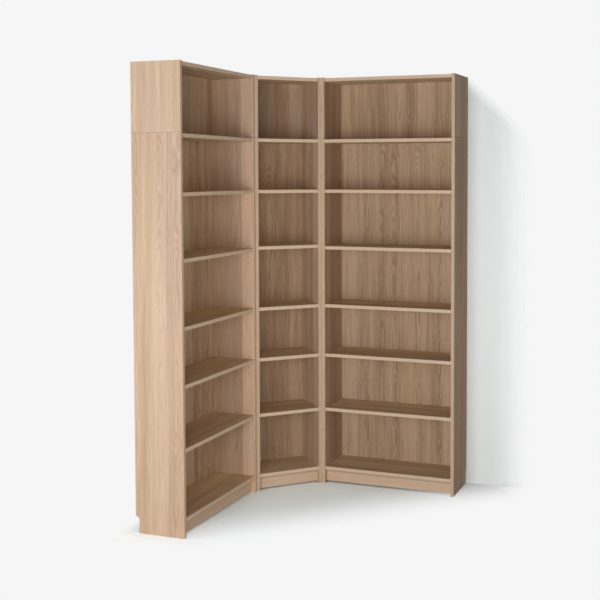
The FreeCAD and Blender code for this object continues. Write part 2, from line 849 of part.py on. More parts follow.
def wedge_bracket():
    """A steel strip with a web across the wedge and a leg on the face of each side."""
    lean = math.radians(wedge_half_angle)
    along = Vector(math.cos(lean), math.sin(lean), 0)
    inward = Vector(math.sin(lean), -math.cos(lean), 0)
    outer_start = along * float(size.bracket_start)
    outer_end = along * float(size.bracket_end)
    inner_end = outer_end + inward * float(size.bracket_thickness)
    web = outer_start.x + size.bracket_thickness
    inner_start = inner_end - along * ((inner_end.x - web) / along.x)
    upper = [outer_start, outer_end, inner_end, inner_start]
    lower = [Vector(point.x, -point.y, 0) for point in reversed(upper)]
    face = Part.Face(Part.makePolygon(upper + lower + upper[:1]))
    bracket = face.extrude(Vector(0, 0, size.bracket_height))
    bracket.translate(Vector(0, 0, -size.bracket_height / 2))
    drills = []
    for side in (-1, 1):
        for rise in (-1, 1):
            foot = Vector(along.x, side * along.y, 0) * float(bracket_hole_reach)
            foot.z = rise * size.bracket_hole_spacing / 2
            out = Vector(-inward.x, -side * inward.y, 0)
            start = foot - out * (2 * size.bracket_thickness)
            drills.append(Part.makeCylinder(screw_hole / 2, 3 * size.bracket_thickness, start,
                                            out))
    return bracket.cut(drills)


def wedge_brackets():
    bracket = wedge_bracket()
    screw = make_screw()
    brackets = []
    screws = []
    heights = (size.bracket_low, bracket_high, bracket_extension)
    rises = (-size.bracket_hole_spacing / 2, size.bracket_hole_spacing / 2)
    left, corner, right = bookcases
    for case, hand in ((left, 1), (right, -1)):
        frame = wedge_frame(case, hand)
        for height in heights:
            copy = bracket.copy()
            copy.Placement = frame.multiply(Placement(Vector(0, 0, height), Rotation()))
            brackets.append(copy)
            for rise in rises:
                screws.append(set_in(case, screw,
                                     hand * (case.width / 2 + size.bracket_thickness),
                                     case.bracket_hole, height + rise, (hand, 0, 0)))
                screws.append(set_in(corner, screw,
                                     -hand * (corner.width / 2 + size.bracket_thickness),
                                     corner.bracket_hole, height + rise, (-hand, 0, 0)))
    add_group("corner_brackets", brackets)
    add_group("corner_bracket_screws", screws)


def wall_bracket_centres(case):
    reach = case.width / 2 - size.wall_bracket_inset
    return (-reach, reach)


def wall_screw_points(case):
    """Where the screws of the wall brackets enter the top, in the bookcase's own frame."""
    return [(centre + side * size.wall_screw_spacing / 2, wall_screw_row)
            for centre in wall_bracket_centres(case) for side in (-1, 1)]


def wall_bracket():
    """An angle that lies on the extension's top and stands up flat against the wall."""
    width = size.wall_bracket_width
    thickness = size.wall_bracket_thickness
    front = rear_of_boards - size.wall_bracket_hold
    flat = Part.makeBox(width, size.depth - front, thickness, Vector(-width / 2, front, 0))
    upright = Part.makeBox(width, thickness, size.wall_bracket_rise,
                           Vector(-width / 2, size.depth - thickness, 0))
    bracket = flat.fuse(upright).removeSplitter()
    bend = [edge for edge in bracket.Edges
            if abs(edge.CenterOfMass.y - size.depth) < same_place
            and abs(edge.CenterOfMass.z) < same_place]
    bracket = bracket.makeFillet(size.wall_bracket_bend, bend)
    drills = [Part.makeCylinder(screw_hole / 2, thickness,
                                Vector(side * size.wall_screw_spacing / 2, wall_screw_row, 0))
              for side in (-1, 1)]
    drills.append(Part.makeCylinder(size.wall_hole_diameter / 2, thickness,
                                    Vector(0, size.depth - thickness, size.wall_hole_height),
                                    Vector(0, 1, 0)))
    return bracket.cut(drills)


def wall_brackets():
    bracket = wall_bracket()
    screw = make_screw()
    brackets = []
    screws = []
    for case in [case for case in bookcases if not case.narrow]:
        for centre in wall_bracket_centres(case):
            copy = bracket.copy()
            copy.Placement = case.placement.multiply(
                Placement(Vector(centre, 0, cap_surface), Rotation()))
            brackets.append(copy)
        for x, y in wall_screw_points(case):
            screws.append(set_in(case, screw, x, y, cap_surface + size.wall_bracket_thickness,
                                 (0, 0, 1)))
    add_group("wall_brackets", brackets)
    add_group("wall_bracket_screws", screws)


# The whole assembly

for case in bookcases:
    for hand in (-1, 1):
        case_side(case, hand)
    fixed_board("%s_bookcase_bottom" % case.name, case, fixed_undersides[0])
    fixed_board("%s_bookcase_fixed_shelf" % case.name, case, fixed_undersides[1])
    fixed_board("%s_bookcase_top" % case.name, case, fixed_undersides[2])
    for number, underside in enumerate(case.shelf_undersides, start=1):
        loose_shelf(case, number, underside)
    plinth(case)
    for hand in (-1, 1):
        extension_side(case, hand)
    cap_board(case)
    back_panels(case)
shelf_pegs()
cams_and_bolts()
wood_dowels()
back_nails()
wedge_brackets()
wall_brackets()
doc.recompute()

for item in doc.Objects:
    if "Invalid" in item.State or "Error" in item.State:
        raise RuntimeError("%s failed: %s" % (item.Label, item.State))
    base = getattr(item, "BaseFeature", None)
    if base is not None and item.TypeId != "PartDesign::Body":
        if item.Shape.Volume > base.Shape.Volume - least_cut:
            raise RuntimeError("%s cut nothing" % item.Label)
for piece in pieces:
    if piece.Shape.isNull() or not piece.Shape.isValid():
        raise RuntimeError("%s has no valid shape" % piece.Label)

os.makedirs("parts", exist_ok=True)
for piece in pieces:
    piece.Shape.exportStep("parts/%s.step" % piece.Label)
print("%d pieces, height %.1f, footprint %.2f" % (len(pieces), case_height + size.extension_height,
                                                  footprint))
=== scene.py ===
import math
import bmesh
import bpy
from mathutils import Matrix, Vector


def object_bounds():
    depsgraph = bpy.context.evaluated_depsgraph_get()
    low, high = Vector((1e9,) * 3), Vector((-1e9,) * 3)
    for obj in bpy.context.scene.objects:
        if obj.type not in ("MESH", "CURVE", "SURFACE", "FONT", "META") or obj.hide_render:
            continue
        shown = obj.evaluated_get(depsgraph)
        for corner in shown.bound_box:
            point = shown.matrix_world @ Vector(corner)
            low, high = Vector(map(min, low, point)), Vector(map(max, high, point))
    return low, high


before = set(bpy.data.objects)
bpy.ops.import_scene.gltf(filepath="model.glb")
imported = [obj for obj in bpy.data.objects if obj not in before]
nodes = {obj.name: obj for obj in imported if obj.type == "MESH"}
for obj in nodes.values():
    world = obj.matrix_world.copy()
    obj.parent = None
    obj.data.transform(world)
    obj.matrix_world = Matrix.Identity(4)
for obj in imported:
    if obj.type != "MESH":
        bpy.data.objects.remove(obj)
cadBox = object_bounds()
print("frame loaded:", len(nodes), "nodes")

millimetre = 0.001
up = Vector((0, 0, 1))


# Camera

cameraValues = {
    "place": (2.187, -5.027, 1.818),
    "turn": 19.53,  # degrees to the left of straight ahead
    "tilt": 2.91,  # degrees below the level
    "focalLength": 1014.0,  # pixels, in an image 600 wide
    "centreX": 383.0,  # where the line of sight meets the image
    "centreY": 225.0,
    "imageWidth": 600,
    "sensorWidth": 36,
}


def placeCamera(values):
    data = bpy.data.cameras.new("Camera")
    camera = bpy.data.objects.new("Camera", data)
    bpy.context.scene.collection.objects.link(camera)
    camera.location = values["place"]
    level = 90 - values["tilt"]
    camera.rotation_euler = (math.radians(level), 0, math.radians(values["turn"]))
    width = values["imageWidth"]
    data.sensor_width = values["sensorWidth"]
    data.lens = values["focalLength"] / width * values["sensorWidth"]
    data.shift_x = 0.5 - values["centreX"] / width
    data.shift_y = values["centreY"] / width - 0.5
    bpy.context.scene.camera = camera


placeCamera(cameraValues)
print("camera placed")


# Small helpers for node trees

def link(tree, source, target):
    tree.links.new(source, target)


def addNode(tree, kind, **settings):
    node = tree.nodes.new(kind)
    for name, value in settings.items():
        setattr(node, name, value)
    return node


def feed(tree, socket, value):
    if isinstance(value, bpy.types.NodeSocket):
        link(tree, value, socket)
    else:
        socket.default_value = value


def calculate(tree, operation, first, second=None, third=None, clamp=False):
    node = addNode(tree, "ShaderNodeMath", operation=operation, use_clamp=clamp)
    for place, value in enumerate((first, second, third)):
        if value is not None:
            feed(tree, node.inputs[place], value)
    return node.outputs[0]


def calculateVector(tree, operation, first, second=None):
    node = addNode(tree, "ShaderNodeVectorMath", operation=operation)
    feed(tree, node.inputs[0], first)
    if second is not None:
        feed(tree, node.inputs[1], second)
    return node.outputs[0]


def splitVector(tree, vector):
    node = addNode(tree, "ShaderNodeSeparateXYZ")
    link(tree, vector, node.inputs[0])
    return node.outputs[0], node.outputs[1], node.outputs[2]


def joinVector(tree, *values):
    node = addNode(tree, "ShaderNodeCombineXYZ")
    for place, value in enumerate(values):
        feed(tree, node.inputs[place], value)
    return node.outputs[0]


def spreadValue(tree, value, low, high, newLow=0.0, newHigh=1.0, smooth=False):
    node = addNode(tree, "ShaderNodeMapRange")
    node.interpolation_type = "SMOOTHSTEP" if smooth else "LINEAR"
    for name, item in zip(("Value", "From Min", "From Max", "To Min", "To Max"),
                          (value, low, high, newLow, newHigh)):
        feed(tree, node.inputs[name], item)
    return node.outputs[0]


def mixColors(tree, factor, first, second, blend="MIX"):
    node = addNode(tree, "ShaderNodeMix", data_type="RGBA", blend_type=blend)
    feed(tree, node.inputs[0], factor)
    feed(tree, node.inputs[6], first)
    feed(tree, node.inputs[7], second)
    return node.outputs[2]


def mixValues(tree, factor, first, second):
    node = addNode(tree, "ShaderNodeMix", data_type="FLOAT")
    feed(tree, node.inputs[0], factor)
    feed(tree, node.inputs[2], first)
    feed(tree, node.inputs[3], second)
    return node.outputs[0]


def tintColor(tree, color, tint):
    return mixColors(tree, 1.0, color, tint, blend="MULTIPLY")


def grey(value):
    return value, value, value, 1


# A noise is given as how often it repeats per metre on each axis, its detail and its roughness.
# On boards the axes run across the grain, through the board and along the grain.

noiseRange = (0.2, 0.8)  # nearly all values of a noise lie between these


def noise(tree, vector, stretch, detail, roughness):
    scaled = calculateVector(tree, "MULTIPLY", vector, stretch)
    node = addNode(tree, "ShaderNodeTexNoise")
    feed(tree, node.inputs["Vector"], scaled)
    node.inputs["Scale"].default_value = 1.0
    node.inputs["Detail"].default_value = detail
    node.inputs["Roughness"].default_value = roughness
    return node.outputs["Fac"]


def drift(tree, vector, settings, reach):
    # A noise that moves something by up to its reach, either way
    return spreadValue(tree, noise(tree, vector, *settings), *noiseRange, -reach, reach)


def specks(tree, vector, settings, limits):
    # Only the peaks of a noise: pores, flecks, scratches and the patches of painted highlight on
    # board corners
    return spreadValue(tree, noise(tree, vector, *settings), *limits, smooth=True)


def newGroup(name, inputs, outputs):
    tree = bpy.data.node_groups.new(name, "ShaderNodeTree")
    for label, kind, default in inputs:
        socket = tree.interface.new_socket(label, in_out="INPUT",
                                           socket_type="NodeSocket" + kind)
        socket.default_value = default
    for label, kind in outputs:
        tree.interface.new_socket(label, in_out="OUTPUT", socket_type="NodeSocket" + kind)
    return tree, addNode(tree, "NodeGroupInput"), addNode(tree, "NodeGroupOutput")


def addGroup(tree, group, inputs):
    node = addNode(tree, "ShaderNodeGroup")
    node.node_tree = group
    for name, value in inputs.items():
        feed(tree, node.inputs[name], value)
    return node.outputs


def emptyMaterial(name):
    material = bpy.data.materials.new(name)
    material.use_nodes = True
    tree = material.node_tree
    tree.nodes.clear()
    output = addNode(tree, "ShaderNodeOutputMaterial")
    return material, tree, output.inputs["Surface"]


def newMaterial(name):
    material, tree, surface = emptyMaterial(name)
    shader = addNode(tree, "ShaderNodeBsdfPrincipled")
    link(tree, shader.outputs[0], surface)
    return material, tree, shader


def addBump(tree, shader, height, distance):
    bump = addNode(tree, "ShaderNodeBump")
    bump.inputs["Distance"].default_value = distance
    feed(tree, bump.inputs["Height"], height)
    link(tree, bump.outputs[0], shader.inputs["Normal"])


def objectPlace(tree):
    return addNode(tree, "ShaderNodeTexCoord").outputs["Object"]


def setMaterial(name, material):
    for slot in nodes[name].material_slots:
        slot.material = material


# Board frames: u runs across the grain, v through the board and w along the grain

unitAngles = {"left": 90, "corner": 45, "right": 0}


def boardKind(name):
    ending = name.split("_")[-1]
    return ending if ending in ("side", "back", "plinth") else "flat"


def boardAxes(name):
    turn = Matrix.Rotation(math.radians(unitAngles[name.split("_")[0]]), 3, "Z")
    sideways = turn @ Vector((1, 0, 0))
    inwards = turn @ Vector((0, 1, 0))
    across, along = {"side": (inwards, up), "back": (sideways, up),
                     "plinth": (up, sideways), "flat": (inwards, sideways)}[boardKind(name)]
    return Matrix((across, along.cross(across), along))


def measureBoard(name):
    axes = boardAxes(name)
    points = [axes @ vertex.co for vertex in nodes[name].data.vertices]
    low = Vector([min(point[i] for point in points) for i in range(3)])
    high = Vector([max(point[i] for point in points) for i in range(3)])
    return axes, (low + high) / 2, (high - low) / 2


def boardCoordinates(tree, axes, centre):
    mapping = addNode(tree, "ShaderNodeMapping", vector_type="POINT")
    mapping.inputs["Rotation"].default_value = axes.to_euler("XYZ")
    mapping.inputs["Location"].default_value = -centre
    link(tree, objectPlace(tree), mapping.inputs["Vector"])
    return mapping.outputs[0]


# Oak foil: the printed grain, as staves of veneer side by side

oakValues = {
    "lightTone": (0.85, 0.635, 0.465, 1),
    "darkTone": (0.51, 0.335, 0.228, 1),
    "middleTone": 0.40,
    "toneWeights": (0.42, 1.35, 0.9, 0.9),  # of the staves, bands, streaks and fine lines
    "warmTint": (1.015, 1.0, 0.95, 1),
    "coolTint": (0.99, 0.99, 1.03, 1),
    "tintLimits": (0.35, 0.65),
    "staveWidth": 92 * millimetre,
    "staveWander": 25 * millimetre,  # how far the joints between the staves stray
    "heartSpread": 90 * millimetre,  # how far beside a stave the heart of its log may lie
    "heartRise": 0.03,  # how steeply the heart runs out of the board
    "heartSway": 50 * millimetre,
    "ringSpacing": 9 * millimetre,
    "ringRipple": 0.9,  # how far a ring strays, in ring spacings
    "ringFall": (0.0, 0.6),  # the part of a year in which its dark line fades
    "ringRise": (0.75, 1.0),  # the part of a year in which the next line comes up
    "ringMean": 0.4,
    "ringWeight": 0.32,
    "waviness": 14 * millimetre,
    "poreAndSeamShadeTone": (0.27, 0.17, 0.105, 1),
    "poreStrength": 0.4,
    "poreLimits": (0.56, 0.68),
    "poreBase": 0.25,  # how strong the pores are away from the ring lines
    "poreDepth": 0.08 * millimetre,
    "fineRelief": 0.35,
    "roughness": (0.48, 0.62),
    "wanderNoise": ((7, 7, 0.4), 2, 0.5),
    "swayNoise": ((7.3, 1, 1.4), 2, 0.5),  # on the stave's number, the seed and the length
    "rippleNoise": ((28, 28, 4), 3, 0.5),
    "waveNoise": ((4, 4, 1.6), 2, 0.5),
    "bandNoise": ((20, 20, 0.8), 3, 0.55),
    "streakNoise": ((110, 110, 3.2), 4, 0.6),
    "fineNoise": ((600, 600, 12), 3, 0.6),
    "poreNoise": ((1700, 1700, 42), 2, 0.5),
    "tintNoise": ((7, 7, 0.5), 2, 0.5),
}


def makeOakGrain(values):
    tree, given, result = newGroup(
        "Oak grain",
        [("Vector", "Vector", (0, 0, 0)), ("Seed", "Float", 0.0), ("Figure", "Float", 1.0)],
        [("Color", "Color"), ("Roughness", "Float"), ("Height", "Float")])
    place, seed = given.outputs["Vector"], given.outputs["Seed"]
    point = calculateVector(tree, "ADD", place, joinVector(tree, seed, seed, seed))
    across, _, along = splitVector(tree, place)

    # Each stave gets its own tone and its own part of the log
    wander = drift(tree, point, values["wanderNoise"], values["staveWander"])
    position = calculate(tree, "ADD", across, wander)
    position = calculate(tree, "MULTIPLY_ADD", position, 1 / values["staveWidth"], seed)
    stave = calculate(tree, "FLOOR", position)
    chance = addNode(tree, "ShaderNodeTexWhiteNoise", noise_dimensions="2D")
    link(tree, joinVector(tree, stave, seed), chance.inputs["Vector"])
    heartChance, _, toneChance = splitVector(tree, chance.outputs["Color"])

    # Yearly rings: arches where the heart lies under the stave, straight lines elsewhere
    heart = spreadValue(tree, heartChance, 0, 1, -values["heartSpread"], values["heartSpread"])
    inStave = calculate(tree, "SUBTRACT", calculate(tree, "FRACT", position), 0.5)
    side = calculate(tree, "MULTIPLY_ADD", inStave, values["staveWidth"], heart)
    sway = drift(tree, joinVector(tree, stave, seed, along), values["swayNoise"],
                 values["heartSway"])
    depth = calculate(tree, "MULTIPLY_ADD", along, values["heartRise"], sway)
    radius = calculate(tree, "SQRT", calculate(
        tree, "ADD", calculate(tree, "MULTIPLY", side, side),
        calculate(tree, "MULTIPLY", depth, depth)))
    ripple = drift(tree, point, values["rippleNoise"], values["ringRipple"])
    rings = calculate(tree, "MULTIPLY_ADD", radius, 1 / values["ringSpacing"], ripple)
    year = calculate(tree, "FRACT", rings)
    fall = spreadValue(tree, year, *values["ringFall"], 1.0, 0.0, smooth=True)
    rise = spreadValue(tree, year, *values["ringRise"], smooth=True)
    ringLine = calculate(tree, "MAXIMUM", fall, rise)

    # Broad bands, streaks and pores, all drawn out along the grain
    wave = drift(tree, point, values["waveNoise"], values["waviness"])
    point = calculateVector(tree, "ADD", point, joinVector(tree, wave, 0.0, 0.0))
    bands = noise(tree, point, *values["bandNoise"])
    streaks = noise(tree, point, *values["streakNoise"])
    fine = noise(tree, point, *values["fineNoise"])
    pores = calculate(tree, "MULTIPLY",
                      specks(tree, point, values["poreNoise"], values["poreLimits"]),
                      calculate(tree, "MULTIPLY_ADD", ringLine, 1 - values["poreBase"],
                                values["poreBase"]))

    figure = calculate(tree, "MULTIPLY",
                       calculate(tree, "SUBTRACT", ringLine, values["ringMean"]),
                       values["ringWeight"])
    for value, weight in zip((toneChance, bands, streaks, fine), values["toneWeights"]):
        shift = calculate(tree, "SUBTRACT", value, 0.5)
        figure = calculate(tree, "MULTIPLY_ADD", shift, weight, figure)
    tone = calculate(tree, "MULTIPLY_ADD", figure, given.outputs["Figure"],
                     values["middleTone"], clamp=True)

    warmth = spreadValue(tree, noise(tree, point, *values["tintNoise"]), *values["tintLimits"])
    tint = mixColors(tree, warmth, values["warmTint"], values["coolTint"])
    color = mixColors(tree, tone, values["lightTone"], values["darkTone"])
    color = tintColor(tree, color, tint)
    poreShade = calculate(tree, "MULTIPLY", pores, values["poreStrength"])
    link(tree, mixColors(tree, poreShade, color, values["poreAndSeamShadeTone"]), result.inputs["Color"])
    link(tree, spreadValue(tree, tone, 0.0, 1.0, *values["roughness"]),
         result.inputs["Roughness"])
    raised = calculate(tree, "MULTIPLY", fine, values["fineRelief"])
    link(tree, calculate(tree, "SUBTRACT", raised, pores), result.inputs["Height"])
    return tree


# Where a point lies on its board: inside the skin, on a raw edge, on the front strip

boardValues = {
    "skin": 0.4 * millimetre,
    "stripThickness": 0.9 * millimetre,
    "jointWidth": 0.15 * millimetre,
    "endWidth": 1.0 * millimetre,
    "highlightWidth": 1.6 * millimetre,
    "highlightLimits": (0.42, 0.62),
    "highlightNoise": ((90, 90, 25), 3, 0.5),
}


def makeBoardPlaces(values):
    tree, given, result = newGroup(
        "Board places",
        [("Vector", "Vector", (0, 0, 0)), ("Half Size", "Vector", (1, 1, 1))],
        [(label, "Float") for label in ("Inside", "Rear Edge", "Foot", "Reverse",
                                        "Front Strip", "Joint", "End Line", "Corner Highlight")])
    place, half = given.outputs["Vector"], given.outputs["Half Size"]
    inward = calculateVector(tree, "SUBTRACT", half, calculateVector(tree, "ABSOLUTE", place))
    inU, inV, inW = splitVector(tree, inward)
    nearest = calculate(tree, "MINIMUM", calculate(tree, "MINIMUM", inU, inV), inW)
    link(tree, calculate(tree, "GREATER_THAN", nearest, values["skin"]), result.inputs["Inside"])

    fromFront, _, fromFoot = splitVector(tree, calculateVector(tree, "ADD", place, half))
    toRear, toReverse, _ = splitVector(tree, calculateVector(tree, "SUBTRACT", half, place))
    fromJoint = calculate(tree, "ABSOLUTE",
                          calculate(tree, "SUBTRACT", fromFront, values["stripThickness"]))
    for label, distance, limit in (
            ("Rear Edge", toRear, "skin"), ("Foot", fromFoot, "skin"),
            ("Reverse", toReverse, "skin"), ("Front Strip", fromFront, "stripThickness"),
            ("Joint", fromJoint, "jointWidth"), ("End Line", inW, "endWidth")):
        link(tree, calculate(tree, "LESS_THAN", distance, values[limit]), result.inputs[label])

    # The middle one of the three distances is the distance to the nearest corner line
    lower = calculate(tree, "MINIMUM", inU, inV)
    upper = calculate(tree, "MAXIMUM", inU, inV)
    toCorner = calculate(tree, "MAXIMUM", lower, calculate(tree, "MINIMUM", upper, inW))
    # Painted highlight: paler patches along the board's corner lines, where light catches the
    # rounded edges
    highlighted = specks(tree, place, values["highlightNoise"], values["highlightLimits"])
    nearCorner = spreadValue(tree, toCorner, 0.0, values["highlightWidth"], 1.0, 0.0, smooth=True)
    link(tree, calculate(tree, "MULTIPLY", nearCorner, highlighted), result.inputs["Corner Highlight"])
    return tree


# Chipboard, which shows in holes and rebates and on raw edges: coarse in the middle layer

chipboardValues = {
    "chipSize": 3.2 * millimetre,
    "dustSize": 0.9 * millimetre,
    "chipStretch": (1.0, 2.2, 0.6),  # chips lie flat, and mostly along the board
    "light": (0.62, 0.47, 0.30, 1),
    "dark": (0.31, 0.20, 0.115, 1),
    "faceLayer": (2.1 * millimetre, 3.0 * millimetre),  # where the fine layer gives way
    "roughness": 0.88,
}


def makeChipboard(values):
    tree, given, result = newGroup(
        "Chipboard",
        [("Vector", "Vector", (0, 0, 0)), ("Half Thickness", "Float", 9 * millimetre)],
        [("Color", "Color"), ("Height", "Float")])
    place = given.outputs["Vector"]
    through = splitVector(tree, place)[1]
    depth = calculate(tree, "SUBTRACT", given.outputs["Half Thickness"],
                      calculate(tree, "ABSOLUTE", through))
    coarse = spreadValue(tree, depth, *values["faceLayer"], smooth=True)
    stretched = calculateVector(tree, "MULTIPLY", place, values["chipStretch"])
    shades, heights = [], []
    for size in (values["dustSize"], values["chipSize"]):
        chips = addNode(tree, "ShaderNodeTexVoronoi")
        link(tree, stretched, chips.inputs["Vector"])
        chips.inputs["Scale"].default_value = 1 / size
        shades.append(splitVector(tree, chips.outputs["Color"])[0])
        heights.append(chips.outputs["Distance"])
    shade = mixValues(tree, coarse, *shades)
    link(tree, mixColors(tree, shade, values["light"], values["dark"]), result.inputs["Color"])
    link(tree, mixValues(tree, coarse, *heights), result.inputs["Height"])
    return tree


# Hardboard, the plain reverse of the back panels

hardboardValues = {
    "light": (0.40, 0.265, 0.155, 1),
    "dark": (0.22, 0.135, 0.075, 1),
    "middleTone": 0.45,
    "fibreContrast": 2.2,
    "cloudContrast": 1.3,
    "meshContrast": 0.06,
    "meshSize": 1.8 * millimetre,  # the print of the wire mesh that the board was pressed on
    "meshRelief": 0.5,
    "roughness": 0.78,
    "fibreNoise": ((420, 420, 260), 5, 0.7),
    "cloudNoise": ((14, 14, 9), 4, 0.6),
}


def makeHardboard(values):
    tree, given, result = newGroup(
        "Hardboard", [("Vector", "Vector", (0, 0, 0))],
        [("Color", "Color"), ("Height", "Float")])
    place = given.outputs["Vector"]
    fibres = noise(tree, place, *values["fibreNoise"])
    clouds = noise(tree, place, *values["cloudNoise"])
    across, _, along = splitVector(tree, place)
    turns = 2 * math.pi / values["meshSize"]
    waves = [calculate(tree, "SINE", calculate(tree, "MULTIPLY", side, turns))
             for side in (across, along)]
    weave = calculate(tree, "MULTIPLY", *waves)
    shade = values["middleTone"]
    for value, contrast in ((fibres, "fibreContrast"), (clouds, "cloudContrast")):
        shift = calculate(tree, "SUBTRACT", value, 0.5)
        shade = calculate(tree, "MULTIPLY_ADD", shift, values[contrast], shade)
    shade = calculate(tree, "MULTIPLY_ADD", weave, values["meshContrast"], shade, clamp=True)
    link(tree, mixColors(tree, shade, values["light"], values["dark"]), result.inputs["Color"])
    link(tree, calculate(tree, "MULTIPLY_ADD", weave, values["meshRelief"], fibres),
         result.inputs["Height"])
    return tree


oakGrain = makeOakGrain(oakValues)
boardPlaces = makeBoardPlaces(boardValues)
chipboard = makeChipboard(chipboardValues)
hardboard = makeHardboard(hardboardValues)
print("wood effects built")


# The boards, each with its own stretch of the printed foil

finishValues = {
    "sideTone": (0.87, 0.64, 0.44, 1),  # the front strips: plainer foil, painted paler for the light that falls full on them
    "sideStrength": 0.8,
    "flatTone": (0.96, 0.73, 0.53, 1),  # of the strips on the boards that lie flat, also painted paler for the light
    "flatStrength": 0.95,
    # painted light: how far the plinth is paled towards the strip tone
    "plinthStrength": 0.7,
    "plinthShadowTone": (0.25, 0.17, 0.11, 1),  # painted shadow on the plinth's top, under the bottom board's overhang
    "plinthShadowWidth": 24 * millimetre,
    "plinthShadowStrength": 0.6,
    # painted highlight on the corners
    "cornerHighlightTint": (1.06, 1.06, 1.06, 1),
    # painted shade: the back panels darkened, as they stand deep in the compartments
    "backPaintedShade": (0.84, 0.84, 0.79, 1),
    # painted shade: the flat boards' colour moved against the warm light that the wood throws
    # onto them
    "flatPaintedShade": (1.0, 1.06, 1.0, 1),
    "frontBandDepth": 77 * millimetre,
    "frontBandBlend": 1 * millimetre,
    "jointStrength": 0.45,
    # painted shade in the seam at the ends of the sides
    "endStrength": 0.5,
    "seedStep": 3.7,
    "gloss": 0.015,
}
figures = {"side": 0.75, "back": 1.35, "plinth": 0.85, "flat": 0.85}  # how bold the grain is
boardPaintedShades = {  # painted light and shade: a brightness for each board, standing in for how much light falls on it
    "left_bookcase_back": 1.15, "left_bookcase_right_side": 0.94,
    "corner_bookcase_back": 1.05, "corner_extension_back": 0.88,
    "corner_bookcase_right_side": 0.82, "corner_extension_right_side": 0.82,
    "right_bookcase_left_side": 0.78, "right_extension_left_side": 0.80,
    "right_bookcase_right_side": 0.87, "right_extension_right_side": 0.90,
    "left_bookcase_bottom": 1.14, "left_bookcase_fixed_shelf": 1.14, "left_shelf_1": 1.08,
    "left_shelf_2": 1.14, "left_shelf_3": 1.14, "left_shelf_4": 1.14,
}
paleFrontBands = {  # how much paler these boards are along their front edge
    "left_bookcase_right_side": 0.3, "left_extension_right_side": 0.2,
    "right_bookcase_left_side": 0.1, "corner_bookcase_right_side": 0.1,
}


def makeBoardMaterial(name, seed):
    kind = boardKind(name)
    axes, centre, half = measureBoard(name)
    material, tree, shader = newMaterial("Oak foil " + name)
    place = boardCoordinates(tree, axes, centre)
    grain = addGroup(tree, oakGrain, {"Vector": place, "Seed": seed, "Figure": figures[kind]})
    where = addGroup(tree, boardPlaces, {"Vector": place, "Half Size": half})
    # Painted light and shade, board by board
    color = tintColor(tree, grain["Color"], grey(boardPaintedShades.get(name, 1.0)))
    if kind == "back":
        inner = addGroup(tree, hardboard, {"Vector": place})
        roughness = hardboardValues["roughness"]
        # Painted shade on the back panels
        color = tintColor(tree, color, finishValues["backPaintedShade"])
        bare = calculate(tree, "MAXIMUM", where["Inside"], where["Reverse"])
    else:
        inner = addGroup(tree, chipboard, {"Vector": place, "Half Thickness": half.y})
        roughness = chipboardValues["roughness"]
        color = finishBoard(tree, name, half, splitVector(tree, place)[0], where, color)
        bare = calculate(tree, "MAXIMUM", where["Inside"], where["Rear Edge"])
        if kind == "side":
            bare = calculate(tree, "MAXIMUM", bare, where["Foot"])
    link(tree, mixColors(tree, bare, color, inner["Color"]), shader.inputs["Base Color"])
    link(tree, mixValues(tree, bare, grain["Roughness"], roughness),
         shader.inputs["Roughness"])
    shader.inputs["Specular IOR Level"].default_value = finishValues["gloss"]
    addBump(tree, shader, mixValues(tree, bare, grain["Height"], inner["Height"]),
            oakValues["poreDepth"])
    return material


def finishBoard(tree, name, half, across, where, color):
    # The paler front band, the front strip, its joint, the plinth with its painted shadow, the
    # painted highlight on the corners and the painted shade at the ends
    kind = boardKind(name)
    if kind == "flat":
        # Painted shade on the boards that lie flat
        color = tintColor(tree, color, finishValues["flatPaintedShade"])
    # A paler band along the front edge of some boards
    if name in paleFrontBands:
        edge = finishValues["frontBandDepth"] - half.x
        blend = finishValues["frontBandBlend"]
        front = spreadValue(tree, across, edge - blend, edge + blend, 1.0, 0.0)
        paler = tintColor(tree, color, grey(1 + paleFrontBands[name]))
        color = mixColors(tree, front, color, paler)
    if kind == "plinth":
        # Painted light: the plinth is mixed towards the paler strip tone
        color = mixColors(tree, finishValues["plinthStrength"], color, finishValues["flatTone"])
        # Painted shadow along the plinth's top, where the bottom board overhangs it
        plinthShadow = spreadValue(tree, across, half.x - finishValues["plinthShadowWidth"], half.x,
                             0.0, finishValues["plinthShadowStrength"], smooth=True)
        color = mixColors(tree, plinthShadow, color, finishValues["plinthShadowTone"])
    else:
        # The front strip: plainer foil, painted paler as painted light
        strip = calculate(tree, "MULTIPLY", where["Front Strip"],
                          finishValues[kind + "Strength"])
        color = mixColors(tree, strip, color, finishValues[kind + "Tone"])
        joint = calculate(tree, "MULTIPLY", where["Joint"], finishValues["jointStrength"])
        color = mixColors(tree, joint, color, oakValues["poreAndSeamShadeTone"])
    # Painted highlight: the corners made paler in patches
    highlighted = tintColor(tree, color, finishValues["cornerHighlightTint"])
    color = mixColors(tree, where["Corner Highlight"], color, highlighted)
    if kind == "side":
        # Painted shade: a dark line at the board's ends, for the shadow in the seam where the
        # extension stands on the bookcase
        end = calculate(tree, "MULTIPLY", where["End Line"], finishValues["endStrength"])
        color = mixColors(tree, end, color, oakValues["poreAndSeamShadeTone"])
    return color


loose = ("_pegs", "_bolts", "_locks", "_dowels", "_nails", "_brackets", "_screws")
boards = [name for name in sorted(nodes) if not name.endswith(loose)]
for number, name in enumerate(boards):
    setMaterial(name, makeBoardMaterial(name, finishValues["seedStep"] * number))
print("boards finished:", len(boards))


# Metal surfaces

